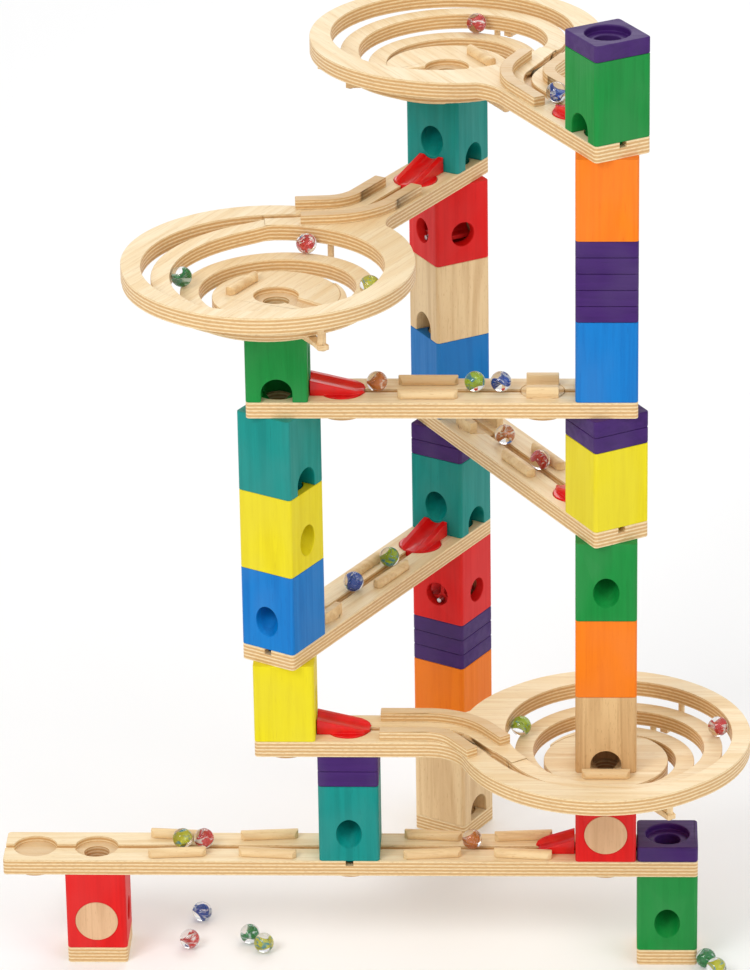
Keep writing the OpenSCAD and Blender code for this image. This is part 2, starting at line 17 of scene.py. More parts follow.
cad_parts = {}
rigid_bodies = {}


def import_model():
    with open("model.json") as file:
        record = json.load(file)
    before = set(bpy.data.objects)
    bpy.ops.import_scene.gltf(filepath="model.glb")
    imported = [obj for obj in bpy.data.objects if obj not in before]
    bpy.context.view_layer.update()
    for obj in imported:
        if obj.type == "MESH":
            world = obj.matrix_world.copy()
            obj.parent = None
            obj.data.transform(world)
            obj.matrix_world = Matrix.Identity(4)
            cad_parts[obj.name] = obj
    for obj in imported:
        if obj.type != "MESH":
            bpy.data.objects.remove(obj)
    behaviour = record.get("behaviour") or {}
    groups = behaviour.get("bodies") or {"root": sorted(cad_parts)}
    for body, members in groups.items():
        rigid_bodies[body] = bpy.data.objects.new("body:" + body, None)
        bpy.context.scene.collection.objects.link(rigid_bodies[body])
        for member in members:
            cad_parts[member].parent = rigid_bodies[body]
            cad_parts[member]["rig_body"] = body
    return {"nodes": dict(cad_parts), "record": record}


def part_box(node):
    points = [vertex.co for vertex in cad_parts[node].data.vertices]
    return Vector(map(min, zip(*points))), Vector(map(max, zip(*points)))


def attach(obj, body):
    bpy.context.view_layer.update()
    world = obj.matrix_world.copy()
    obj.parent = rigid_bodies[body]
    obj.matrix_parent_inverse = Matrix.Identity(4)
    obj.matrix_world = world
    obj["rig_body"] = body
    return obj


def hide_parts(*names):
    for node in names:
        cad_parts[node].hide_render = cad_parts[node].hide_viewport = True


log = logging.getLogger("marble_run")
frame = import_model()

MM = 0.001
Colour = tuple[float, float, float]


class Grain(Enum):
    """Which way the grain runs in a piece."""

    UPRIGHT = "upright"
    LEVEL = "level"


def srgb(red: int, green: int, blue: int) -> Colour:
    """Turns a colour in the usual 0 to 255 steps into linear light.

    Args:
        red: Red, 0 to 255.
        green: Green, 0 to 255.
        blue: Blue, 0 to 255.

    Returns:
        The three linear values.
    """
    steps = np.array([red, green, blue]) / 255.0
    linear = np.where(steps <= 0.04045, steps / 12.92, ((steps + 0.055) / 1.055) ** 2.4)
    return tuple(float(value) for value in linear)


class NodeSheet:
    """A material's node tree, with short ways to add and join nodes."""

    def __init__(self, name: str) -> None:
        """Starts an empty material with an output and a Principled shader."""
        self.material = bpy.data.materials.new(name)
        self.material.use_nodes = True
        self.tree = self.material.node_tree
        self.tree.nodes.clear()
        self.output = self.tree.nodes.new("ShaderNodeOutputMaterial")
        self.shader = self.tree.nodes.new("ShaderNodeBsdfPrincipled")
        self.link(self.shader.outputs["BSDF"], self.output.inputs["Surface"])

    def node(self, kind: str, **settings: object) -> bpy.types.Node:
        """Adds a node of this kind and sets its properties."""
        made = self.tree.nodes.new(kind)
        for key, value in settings.items():
            setattr(made, key, value)
        return made

    def link(self, source: bpy.types.NodeSocket, target: bpy.types.NodeSocket) -> None:
        """Joins two sockets."""
        self.tree.links.new(source, target)

    def feed(self, target: bpy.types.NodeSocket, value: object) -> None:
        """Links a socket to the target, or sets the target to a plain value."""
        if isinstance(value, bpy.types.NodeSocket):
            self.link(value, target)
        else:
            target.default_value = value

    def place(self, scale: tuple[float, float, float], turn: float = 0.0) -> bpy.types.NodeSocket:
        """Object coordinates, turned about the vertical and then scaled.

        Args:
            scale: Pattern repeats per metre along x, y and z, after the turn.
            turn: Angle in degrees by which the pattern is turned.

        Returns:
            The socket that holds the coordinates.
        """
        where = self.node("ShaderNodeTexCoord")
        turned = self.node("ShaderNodeMapping", vector_type="TEXTURE")
        turned.inputs["Rotation"].default_value = (0.0, 0.0, math.radians(turn))
        self.link(where.outputs["Object"], turned.inputs["Vector"])
        scaled = self.node("ShaderNodeMapping")
        scaled.inputs["Scale"].default_value = scale
        self.link(turned.outputs["Vector"], scaled.inputs["Vector"])
        return scaled.outputs["Vector"]

    def noise(self, where: bpy.types.NodeSocket, detail: float = 4.0, rough: float = 0.55,
              warp: float = 0.0) -> bpy.types.NodeSocket:
        """Noise at these coordinates, from 0 to 1."""
        made = self.node("ShaderNodeTexNoise")
        made.inputs["Scale"].default_value = 1.0
        made.inputs["Detail"].default_value = detail
        made.inputs["Roughness"].default_value = rough
        made.inputs["Distortion"].default_value = warp
        self.link(where, made.inputs["Vector"])
        return made.outputs["Fac"]

    def math(self, operation: str, *values: object) -> bpy.types.NodeSocket:
        """The result of a Math node."""
        made = self.node("ShaderNodeMath", operation=operation)
        for socket, value in zip(made.inputs, values):
            self.feed(socket, value)
        return made.outputs[0]

    def spread(self, value: bpy.types.NodeSocket, low: float, high: float,
               to_low: float = 0.0, to_high: float = 1.0) -> bpy.types.NodeSocket:
        """Maps low..high smoothly onto to_low..to_high."""
        made = self.node("ShaderNodeMapRange", interpolation_type="SMOOTHSTEP")
        for key, number in (("From Min", low), ("From Max", high), ("To Min", to_low), ("To Max", to_high)):
            made.inputs[key].default_value = number
        self.link(value, made.inputs["Value"])
        return made.outputs["Result"]

    def mix(self, share: object, first: object, second: object,
            blend: str = "MIX") -> bpy.types.NodeSocket:
        """Mixes two colours."""
        made = self.node("ShaderNodeMix", data_type="RGBA", blend_type=blend)
        self.feed(made.inputs[0], share)
        for socket, value in ((made.inputs[6], first), (made.inputs[7], second)):
            self.feed(socket, (*value, 1.0) if isinstance(value, tuple) else value)
        return made.outputs[2]

    def up(self) -> bpy.types.NodeSocket:
        """How far the face looks up or down, from 0 on a side to 1 on a level face."""
        geometry = self.node("ShaderNodeNewGeometry")
        split = self.node("ShaderNodeSeparateXYZ")
        self.link(geometry.outputs["True Normal"], split.inputs[0])
        return self.math("ABSOLUTE", split.outputs["Z"])

    def edges(self) -> bpy.types.NodeSocket:
        """0 on flat faces, rising to 1 on outer edges."""
        geometry = self.node("ShaderNodeNewGeometry")
        return self.spread(geometry.outputs["Pointiness"], 0.505, 0.56)

    def bump(self, height: bpy.types.NodeSocket, depth: float, strength: float = 1.0) -> None:
        """Adds relief of this depth, in metres, to the shader."""
        made = self.node("ShaderNodeBump")
        made.inputs["Strength"].default_value = strength
        made.inputs["Distance"].default_value = depth
        self.link(height, made.inputs["Height"])
        self.link(made.outputs["Normal"], self.shader.inputs["Normal"])

    def finish(self, colour: object, roughness: object, **plain: float) -> bpy.types.Material:
        """Sets the shader's colour, roughness and any plain numbers.

        Args:
            colour: Base colour, as a socket or a colour.
            roughness: Roughness, as a socket or a number.
            **plain: Other inputs by name, with underscores for spaces.

        Returns:
            The finished material.
        """
        self.feed(self.shader.inputs["Base Color"], (*colour, 1.0) if isinstance(colour, tuple) else colour)
        self.feed(self.shader.inputs["Roughness"], roughness)
        for key, value in plain.items():
            self.shader.inputs[key.replace("_", " ")].default_value = value
        return self.material


@dataclass(frozen=True)
class StainedWood:
    """Rubberwood soaked in a bright water stain, with its grain and pores showing through."""

    name: str
    colour: Colour
    deep: Colour
    grain: Grain = Grain.UPRIGHT

    def material(self) -> bpy.types.Material:
        """Grain is noise stretched along the block; pores are fine short dashes."""
        sheet = NodeSheet(self.name)
        along = (170.0, 170.0, 9.0) if self.grain is Grain.UPRIGHT else (12.0, 150.0, 150.0)
        dash = (900.0, 900.0, 70.0) if self.grain is Grain.UPRIGHT else (90.0, 900.0, 900.0)
        streak = sheet.noise(sheet.place(along), 5.0, 0.6, 0.6)
        pores = sheet.noise(sheet.place(dash), 2.0, 0.6)
        cloud = sheet.noise(sheet.place((22.0, 22.0, 14.0)), 2.0, 0.5)
        tone = sheet.mix(sheet.spread(streak, 0.36, 0.74, 0.0, 0.5), self.colour, self.deep)
        tone = sheet.mix(sheet.spread(cloud, 0.3, 0.75, 0.0, 0.3), tone, self.deep)
        tone = sheet.mix(sheet.spread(pores, 0.6, 0.78, 0.0, 0.55), tone, self.deep)
        worn = tuple(min(1.0, 0.9 * value + 0.05) for value in self.colour)
        tone = sheet.mix(sheet.math("MULTIPLY", sheet.edges(), sheet.spread(cloud, 0.35, 0.6, 0.1, 0.5)), tone, worn)
        relief = sheet.math("ADD", sheet.math("MULTIPLY", streak, 0.5), sheet.math("MULTIPLY", pores, -0.5))
        sheet.bump(relief, 0.00012)
        return sheet.finish(tone, sheet.spread(streak, 0.3, 0.7, 0.42, 0.56), Specular_IOR_Level=0.16)


@dataclass(frozen=True)
class PlainWood:
    """Pale beech or rubberwood under clear varnish."""

    name: str
    pale: Colour
    dark: Colour
    grain: Grain = Grain.UPRIGHT
    turn: float = 0.0

    def material(self) -> bpy.types.Material:
        """Broad bands, fine streaks and the short dark flecks of beech."""
        sheet = NodeSheet(self.name)
        upright = self.grain is Grain.UPRIGHT
        bands = sheet.noise(sheet.place((75.0, 75.0, 5.0) if upright else (6.0, 85.0, 85.0), self.turn), 3.0, 0.5, 1.2)
        streak = sheet.noise(sheet.place((420.0, 420.0, 14.0) if upright else (16.0, 420.0, 420.0), self.turn), 4.0, 0.6, 0.3)
        fleck = sheet.noise(sheet.place((1500.0, 1500.0, 170.0) if upright else (170.0, 1500.0, 1500.0), self.turn), 1.0)
        mid = tuple(0.5 * (a + b) for a, b in zip(self.pale, self.dark))
        tone = sheet.mix(sheet.spread(bands, 0.35, 0.68), self.pale, mid)
        tone = sheet.mix(sheet.spread(streak, 0.48, 0.75, 0.0, 0.55), tone, self.dark)
        tone = sheet.mix(sheet.spread(fleck, 0.62, 0.74, 0.0, 0.5), tone, self.dark)
        sheet.bump(sheet.math("ADD", streak, fleck), 0.00008)
        return sheet.finish(tone, sheet.spread(streak, 0.3, 0.7, 0.38, 0.5), Specular_IOR_Level=0.4)


@dataclass(frozen=True)
class BirchPly:
    """Birch plywood: a pale veneer on its level faces and cut plies on its edges.

    Its pieces carry a "ply" value at each point: 0 at the underside and 1 at the top.
    """

    name: str
    turn: float = 0.0
    plies: int = 9

    def material(self) -> bpy.types.Material:
        """Every second ply is cut across its grain, and looks darker on the edge."""
        sheet = NodeSheet(self.name)
        pale, warm, dark = srgb(246, 226, 188), srgb(234, 203, 152), srgb(190, 144, 92)
        ply = sheet.node("ShaderNodeAttribute", attribute_name="ply").outputs["Fac"]
        wobble = sheet.noise(sheet.place((30.0, 30.0, 30.0)), 2.0)
        layer = sheet.math("MULTIPLY", sheet.math("ADD", ply, sheet.math("MULTIPLY", wobble, 0.03)), self.plies / 2.0)
        wave = sheet.math("ABSOLUTE", sheet.math("SUBTRACT", sheet.math("FRACT", sheet.math("ADD", layer, 0.235)), 0.5))
        cross = sheet.spread(wave, 0.17, 0.31)
        fibre = sheet.noise(sheet.place((260.0, 260.0, 1300.0)), 3.0, 0.65)
        glue = sheet.math("SUBTRACT", 1.0, sheet.spread(sheet.math("ABSOLUTE", sheet.math("SUBTRACT", wave, 0.25)), 0.0, 0.05))
        edge = sheet.mix(cross, srgb(240, 215, 168), srgb(212, 168, 112))
        edge = sheet.mix(sheet.spread(fibre, 0.4, 0.75, 0.0, 0.5), edge, dark)
        edge = sheet.mix(sheet.math("MULTIPLY", glue, 0.35), edge, srgb(150, 105, 62))
        bands = sheet.noise(sheet.place((5.0, 60.0, 60.0), self.turn), 3.0, 0.55, 1.6)
        streak = sheet.noise(sheet.place((14.0, 480.0, 480.0), self.turn), 4.0, 0.62, 0.2)
        fleck = sheet.noise(sheet.place((110.0, 1500.0, 1500.0), self.turn), 1.0)
        face = sheet.mix(sheet.spread(bands, 0.34, 0.7, 0.0, 0.75), pale, warm)
        face = sheet.mix(sheet.spread(streak, 0.46, 0.78, 0.0, 0.5), face, srgb(214, 174, 118))
        face = sheet.mix(sheet.spread(fleck, 0.64, 0.75, 0.0, 0.35), face, dark)
        inner = sheet.math("MULTIPLY", sheet.spread(ply, 0.97, 0.9), sheet.spread(ply, 0.03, 0.1))
        face = sheet.mix(sheet.math("MULTIPLY", inner, 0.45), face, srgb(196, 150, 96))
        level = sheet.spread(sheet.up(), 0.55, 0.8)
        tone = sheet.mix(level, edge, face)
        sheet.bump(sheet.math("ADD", sheet.math("MULTIPLY", cross, 0.7), sheet.math("ADD", fibre, streak)), 0.00007)
        return sheet.finish(tone, sheet.spread(streak, 0.3, 0.7, 0.4, 0.52), Specular_IOR_Level=0.38)


@dataclass(frozen=True)
class GlossPaint:
    """Thick gloss paint over wood, with a faint ripple."""

    name: str
    colour: Colour

    def material(self) -> bpy.types.Material:
        """A coat over a slightly rippled, slightly uneven colour."""
        sheet = NodeSheet(self.name)
        ripple = sheet.noise(sheet.place((90.0, 90.0, 90.0)), 2.0)
        deep = tuple(0.72 * value for value in self.colour)
        tone = sheet.mix(sheet.spread(ripple, 0.35, 0.7, 0.0, 0.5), self.colour, deep)
        sheet.bump(ripple, 0.00015)
        return sheet.finish(tone, 0.34, Coat_Weight=0.45, Coat_Roughness=0.1, Specular_IOR_Level=0.25)


@dataclass(frozen=True)
class ClearGlass:
    """The clear glass of a marble."""

    name: str

    def material(self) -> bpy.types.Material:
        """Glass with a few faint seeds in its surface."""
        sheet = NodeSheet(self.name)
        seeds = sheet.noise(sheet.place((260.0, 260.0, 260.0)), 1.0)
        sheet.bump(sheet.spread(seeds, 0.7, 0.8), 0.00002)
        return sheet.finish((1.0, 1.0, 1.0), 0.0, Transmission_Weight=1.0, IOR=1.47)


@dataclass(frozen=True)
class VaneGlass:
    """The coloured glass inside a marble."""

    name: str
    colour: Colour
    second: Colour

    def material(self) -> bpy.types.Material:
        """Two colours that swirl into each other."""
        sheet = NodeSheet(self.name)
        swirl = sheet.noise(sheet.place((120.0, 120.0, 260.0)), 2.0, 0.5, 1.5)
        tone = sheet.mix(sheet.spread(swirl, 0.5, 0.66), self.colour, self.second)
        return sheet.finish(tone, 0.25, Specular_IOR_Level=0.5)


@dataclass(frozen=True)
class BrushedSteel:
    """Drawn steel pin stock."""

    name: str

    def material(self) -> bpy.types.Material:
        """Fine scratches on grey metal."""
        sheet = NodeSheet(self.name)
        scratch = sheet.noise(sheet.place((900.0, 900.0, 900.0)), 3.0)
        tone = sheet.mix(scratch, (0.5, 0.5, 0.52), (0.68, 0.68, 0.7))
        return sheet.finish(tone, sheet.spread(scratch, 0.3, 0.7, 0.25, 0.4), Metallic=1.0)


@dataclass
class Finishes:
    """Every finish of the run, made once and shared."""

    made: dict[str, bpy.types.Material] = field(default_factory=dict)

    def get(self, finish: object) -> bpy.types.Material:
        """The material of a finish."""
        if finish.name not in self.made:
            self.made[finish.name] = finish.material()
        return self.made[finish.name]


STAINS: dict[str, tuple[Colour, Colour]] = {
    "red": (srgb(224, 20, 18), srgb(194, 10, 12)),
    "orange": (srgb(244, 128, 8), srgb(226, 100, 4)),
    "yellow": (srgb(232, 216, 16), srgb(208, 184, 8)),
    "green": (srgb(12, 140, 58), srgb(4, 108, 40)),
    "teal": (srgb(0, 142, 134), srgb(0, 106, 102)),
    "blue": (srgb(0, 122, 200), srgb(0, 90, 166)),
    "purple": (srgb(66, 28, 104), srgb(42, 14, 74)),
}
VANES: dict[str, tuple[Colour, Colour]] = {
    "orange": (srgb(214, 120, 40), srgb(250, 236, 214)),
    "green": (srgb(168, 200, 30), srgb(60, 150, 170)),
    "blue": (srgb(24, 76, 176), srgb(230, 238, 246)),
    "red": (srgb(214, 52, 48), srgb(250, 240, 236)),
    "yellow": (srgb(206, 206, 40), srgb(90, 160, 170)),
    "emerald": (srgb(10, 130, 60), srgb(200, 228, 220)),
}


def shown_mesh(name: str, mesh: bpy.types.Mesh, body: str, slot: str, materials: list[bpy.types.Material],
               stands_for: tuple[str, ...] = ()) -> bpy.types.Object:
    """Makes an object from a mesh and lets it ride.

    Args:
        name: The piece's name.
        mesh: Its mesh, in the frame's coordinates.
        body: The body it rides on.
        slot: The record's material slot; not used.
        materials: Its materials, in the order of the mesh's material numbers.
        stands_for: The frame's nodes that it replaces.

    Returns:
        The object.
    """
    piece = bpy.data.objects.new(name, mesh)
    bpy.context.scene.collection.objects.link(piece)
    mesh.materials.clear()
    for material in materials:
        mesh.materials.append(material)
    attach(piece, body)
    if stands_for:
        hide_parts(*stands_for)
    log.info("%s: %d faces on %s", name, len(mesh.polygons), body)
    return piece


def points_of(mesh: bpy.types.Mesh) -> np.ndarray:
    """All points of a mesh, as rows of x, y, z."""
    flat = np.empty(3 * len(mesh.vertices), np.float32)
    mesh.vertices.foreach_get("co", flat)
    return flat.reshape(-1, 3).astype(float)


def body_of_node(node: str) -> str:
    """The body that a node of the frame rides on."""
    return frame["nodes"][node]["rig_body"]


def slot_of_node(node: str) -> str:
    """The record's material slot of a node of the frame."""
    return next(part["material_slot"] for part in frame["record"]["subparts"] if part["node"] == node)


def axis_of(node: str) -> np.ndarray:
    """The middle of a node's box, seen from above."""
    low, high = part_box(node)
    return np.array([(low.x + high.x) / 2, (low.y + high.y) / 2])


@dataclass
class Softened:
    """A piece made from a node's own solid, with its sharp edges rounded over.

    The node's loose triangles are welded and flat ones joined, the edges sharper than
    a given angle get a small round, and normals are weighted by area so that flat faces
    stay flat.
    """

    node: str
    round_over: float = 0.6 * MM
    sharp: float = 32.0
    segments: int = 2

    def mesh(self) -> bpy.types.Mesh:
        """The rounded copy of the node's mesh."""
        source = bpy.data.objects.new(self.node + "_work", frame["nodes"][self.node].data.copy())
        bpy.context.scene.collection.objects.link(source)
        weld = source.modifiers.new("weld", "WELD")
        weld.merge_threshold = 2e-6
        join = source.modifiers.new("join", "DECIMATE")
        join.decimate_type = "DISSOLVE"
        join.angle_limit = math.radians(0.6)
        ease = source.modifiers.new("ease", "BEVEL")
        ease.width = self.round_over
        ease.segments = self.segments
        ease.limit_method = "ANGLE"
        ease.angle_limit = math.radians(self.sharp)
        ease.use_clamp_overlap = False
        ease.miter_outer = "MITER_SHARP"
        even = source.modifiers.new("even", "WEIGHTED_NORMAL")
        even.keep_sharp = True
        source.data.shade_smooth()
        graph = bpy.context.evaluated_depsgraph_get()
        mesh = bpy.data.meshes.new_from_object(source.evaluated_get(graph), depsgraph=graph)
        mesh.name = self.node + "_soft"
        spare = source.data
        bpy.data.objects.remove(source)
        bpy.data.meshes.remove(spare)
        return mesh


@dataclass
class Block:
    node: str
    finish: object
    round_over: float = 0.7 * MM
    sharp: float = 32.0

    def build(self, finishes: Finishes) -> bpy.types.Object:
        """Makes the piece and dresses it."""
        mesh = Softened(self.node, self.round_over, self.sharp).mesh()
        return shown_mesh(self.node + "_wood", mesh, body_of_node(self.node), slot_of_node(self.node),
                          [finishes.get(self.finish)], (self.node,))


@dataclass
class RiserStacks:
    """The risers that stand in the towers, each a turned copy of one softened riser."""

    finish: object
    node: str = "risers"
    pattern: str = "top_riser"
    pattern_turn: float = 30.0
    step: float = 13.2 * MM
    round_over: float = 1.1 * MM

    def places(self) -> list[tuple[np.ndarray, int, float]]:
        """The place of each riser: the axis of its tower, its level in steps, and its turn."""
        tower_r, tower_c, tower_b = axis_of("top_riser"), axis_of("c_top_teal_block"), axis_of("b_teal_block")
        return [*((tower_b, level, 0.0) for level in (12, 13)), *((tower_r, level, 30.0) for level in (34, 35)),
                *((tower_r, level, 0.0) for level in range(42, 47)),
                *((tower_c, level, -30.0) for level in (6, 12, 13, 14, 26, 27))]

    def build(self, finishes: Finishes) -> None:
        """Brings the pattern riser to the origin, then turns and lifts a copy to each place."""
        pattern = Softened(self.pattern, self.round_over).mesh()
        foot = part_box(self.pattern)[1].z - self.step
        home = Matrix.Rotation(math.radians(-self.pattern_turn), 4, "Z") @ Matrix.Translation(
            (*(-axis_of(self.pattern)), -foot))
        for number, (axis, level, turn) in enumerate(self.places()):
            mesh = pattern.copy()
            mesh.transform(Matrix.Translation((*axis, level * self.step))
                           @ Matrix.Rotation(math.radians(turn), 4, "Z") @ home)
            shown_mesh(f"riser_{number + 1}_wood", mesh, body_of_node(self.node), slot_of_node(self.node),
                       [finishes.get(self.finish)], (self.node,))
        bpy.data.meshes.remove(pattern)


def add_ply(mesh: bpy.types.Mesh, values: np.ndarray) -> None:
    """Stores each point's place through the plywood, 0 at the underside and 1 at the top."""
    attribute = mesh.attributes.new("ply", "FLOAT", "POINT")
    attribute.data.foreach_set("value", values.astype(np.float32))


@dataclass
class PlyBoard:
    """A flat piece of plywood. Points below its underside belong to its pegs."""

    node: str
    turn: float
    thickness: float = 13.2 * MM
    rise: float = 0.0

    def build(self, finishes: Finishes) -> bpy.types.Object:
        """Makes the board and dresses it."""
        mesh = Softened(self.node, 0.5 * MM).mesh()
        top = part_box(self.node)[1].z - self.rise
        add_ply(mesh, 1.0 - (top - points_of(mesh)[:, 2]) / self.thickness)
        return shown_mesh(self.node + "_ply", mesh, body_of_node(self.node), slot_of_node(self.node),
                          [finishes.get(BirchPly(f"birch_ply_{round(self.turn) % 360}", self.turn))], (self.node,))


@dataclass
class Spiral:
    """A spiral track: a plate whose spiral arm falls in turns to a disc."""

    node: str
    axis: np.ndarray
    heading: float
    step: float = 13.2
    rim_centre: tuple[float, float] = (-1.7, 5.2)
    rim_inside: float = 97.5
    turn_pitch: float = 22.0
    arm_width: float = 14.5
    gap: float = 7.5
    arm_from: float = 35.0
    arm_flat: float = 640.0
    sink: float = 0.3

    def wall(self, angle: np.ndarray) -> np.ndarray:
        """Radius of the gap's outer wall. It keeps still for part of each turn, then eases
        in by one pitch along a half cosine."""
        whole = np.floor((angle + 170.0) / 360.0)
        part = np.clip((angle + 170.0 - 360.0 * whole) / 250.0, 0.0, 1.0)
        return self.rim_inside + self.turn_pitch * (1.0 - whole - (1.0 - np.cos(np.pi * part)) / 2.0)

    def arm_top(self, angle: np.ndarray) -> np.ndarray:
        """Height of the arm's top over the disc's underside: steep at first, then gentle."""
        share = np.clip((angle - self.arm_from) / (self.arm_flat - self.arm_from), 0.0, 1.0)
        return 3 * self.step - self.sink - 2 * self.step * share ** 0.55

    def ply_of(self, points: np.ndarray, floor: float) -> np.ndarray:
        """Place through the plywood of each point, found from the part that it lies on.

        Args:
            points: Points in the frame, in metres.
            floor: Height of the disc's underside, in metres.

        Returns:
            The ply value of each point.
        """
        away = (points[:, :2] - self.axis) / MM
        turn = math.radians(-self.heading)
        x = away[:, 0] * math.cos(turn) - away[:, 1] * math.sin(turn) - self.rim_centre[0]
        y = away[:, 0] * math.sin(turn) + away[:, 1] * math.cos(turn) - self.rim_centre[1]
        z = (points[:, 2] - floor) / MM
        radius, bearing = np.hypot(x, y), np.degrees(np.arctan2(y, x)) % 360.0
        on_plate = (z - 2 * self.step) / self.step
        ply = np.where(z < self.step + 0.3, z / self.step, on_plate)
        for whole in (0, 1):
            angle = bearing + 360.0 * whole
            outside = self.wall(angle) - self.gap
            under = self.arm_top(angle) - self.step + 2 * self.sink
            near = (angle > 31.0) & (angle < 690.5)
            near &= (radius < outside + 0.8) & (radius > outside - self.arm_width - 0.8)
            near &= (z > under - 1.2) & (z < under + self.step + 1.2)
            ply = np.where(near, (z - under) / (self.step - 2 * self.sink), ply)
        return ply

    def build(self, finishes: Finishes) -> bpy.types.Object:
        """Makes the track and dresses it."""
        mesh = Softened(self.node, 0.5 * MM, 40.0).mesh()
        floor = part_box(self.node)[1].z - 3 * self.step * MM
        add_ply(mesh, self.ply_of(points_of(mesh), floor))
        return shown_mesh(self.node + "_ply", mesh, body_of_node(self.node), slot_of_node(self.node),
                          [finishes.get(BirchPly(f"birch_ply_{round(self.heading) % 360}", self.heading))], (self.node,))


def islands(mesh: bpy.types.Mesh) -> list[np.ndarray]:
    """The separate lumps of a mesh, each as its points.

    Every point takes the lowest number among its neighbours, again and again, until all
    points of a lump share one number.

    Args:
        mesh: A mesh of loose triangles.

    Returns:
        One array of points per lump.
    """
    points = points_of(mesh)
    _, same = np.unique(np.round(points / 2e-6).astype(np.int64), axis=0, return_inverse=True)
    edges = np.empty(2 * len(mesh.edges), np.int32)
    mesh.edges.foreach_get("vertices", edges)
    pairs = same.reshape(-1)[edges].reshape(-1, 2)
    label = np.arange(pairs.max() + 1)
    while True:
        low = np.minimum(label[pairs[:, 0]], label[pairs[:, 1]])
        fresh = label.copy()
        np.minimum.at(fresh, pairs[:, 0], low)
        np.minimum.at(fresh, pairs[:, 1], low)
        if np.array_equal(fresh, label):
            break
        label = fresh
    owner = label[same.reshape(-1)]
    return [points[owner == number] for number in np.unique(owner)]


@dataclass
class Marble:
    """A clear glass marble with a coloured twist inside."""

    name: str
    node: str
    centre: np.ndarray
    tint: str
    spin: int
    radius: float = 8.0 * MM

    def ball(self) -> np.ndarray:
        """A sphere as a grid of latitude by longitude."""
        lat = np.linspace(-math.pi / 2, math.pi / 2, 33)[1:-1, None]
        lon = np.linspace(0.0, 2 * math.pi, 64, endpoint=False)[None, :]
        return self.radius * np.stack([np.cos(lat) * np.cos(lon), np.cos(lat) * np.sin(lon),
                                       np.sin(lat) * np.ones_like(lon)], -1)

    def twist(self) -> np.ndarray:
        """A lens-shaped blade swept along the marble's axis: its half width is an ellipse of
        the height, it is a fifth as thick, and it turns as it rises."""
        rise = np.linspace(-1.0, 1.0, 27)[1:-1, None]
        round_it = np.linspace(0.0, 2 * math.pi, 40, endpoint=False)[None, :]
        width = 0.74 * self.radius * np.sqrt(1.0 - rise ** 2)
        x = width * np.cos(round_it) * (1.0 + 0.22 * np.sin(round_it))
        y = 0.3 * width * np.sin(round_it) + 0.22 * width * np.sin(2.2 * rise + 1.1 * np.cos(round_it))
        turn = 1.5 * rise
        return np.stack([x * np.cos(turn) - y * np.sin(turn), x * np.sin(turn) + y * np.cos(turn),
                         0.78 * self.radius * rise * np.ones_like(x)], -1)

    def placed(self, points: np.ndarray) -> np.ndarray:
        """Turns points by this marble's own lie, and puts them at its centre."""
        lie = Matrix.Rotation(2.399 * self.spin, 3, "Z") @ Matrix.Rotation(0.5 + 0.7 * self.spin, 3, "X")
        return points @ np.array(lie).T + self.centre

    def closed(self, name: str, points: np.ndarray) -> bpy.types.Mesh:
        """A mesh from rings of points, closed at both ends with a fan to a pole."""
        rows, columns = points.shape[:2]
        mesh_points = np.concatenate([points.reshape(-1, 3), points[0].mean(0)[None], points[-1].mean(0)[None]])
        if np.allclose(np.linalg.norm(points - points.reshape(-1, 3).mean(0), axis=-1), self.radius, atol=1e-6):
            middle = points.reshape(-1, 3).mean(0)
            poles = mesh_points[-2:] - middle
            mesh_points[-2:] = middle + self.radius * poles / np.linalg.norm(poles, axis=1)[:, None]
        number = np.arange(rows * columns).reshape(rows, columns)
        walls = np.stack([number[:-1], np.roll(number[:-1], -1, 1), np.roll(number[1:], -1, 1), number[1:]], -1)
        low, high = number[0], number[-1]
        south = np.stack([np.full(columns, rows * columns), np.roll(low, -1), low], -1)
        north = np.stack([np.full(columns, rows * columns + 1), high, np.roll(high, -1)], -1)
        mesh = bpy.data.meshes.new(name)
        mesh.from_pydata(mesh_points.tolist(), [], walls.reshape(-1, 4).tolist() + south.tolist() + north.tolist())
        mesh.shade_smooth()
        return mesh

    def build(self, finishes: Finishes) -> None:
        """Makes the glass ball and the twist inside it."""
        body, slot = body_of_node(self.node), slot_of_node(self.node)
        shown_mesh(self.name + "_glass", self.closed(self.name + "_glass", self.placed(self.ball())), body, slot,
                   [finishes.get(ClearGlass("clear_glass"))], (self.node,))
        shown_mesh(self.name + "_twist", self.closed(self.name + "_twist", self.placed(self.twist())), body, slot,
                   [finishes.get(VaneGlass("twist_" + self.tint, *VANES[self.tint]))])


@dataclass
class MarbleSet:
    """All marbles of one node, told apart by where they lie along one axis."""

    node: str
    tints: tuple[str, ...]
    along: int = 0

    def build(self, finishes: Finishes, first_spin: int) -> None:
        """Makes each marble of the set, in order along the axis."""
        lumps = islands(frame["nodes"][self.node].data)
        centres = sorted(((lump.min(0) + lump.max(0)) / 2 for lump in lumps), key=lambda c: c[self.along])
        for number, (centre, tint) in enumerate(zip(centres, self.tints, strict=True)):
            name = self.node if len(self.tints) == 1 else f"{self.node}_{number + 1}"
            Marble(name, self.node, centre, tint, first_spin + number).build(finishes)


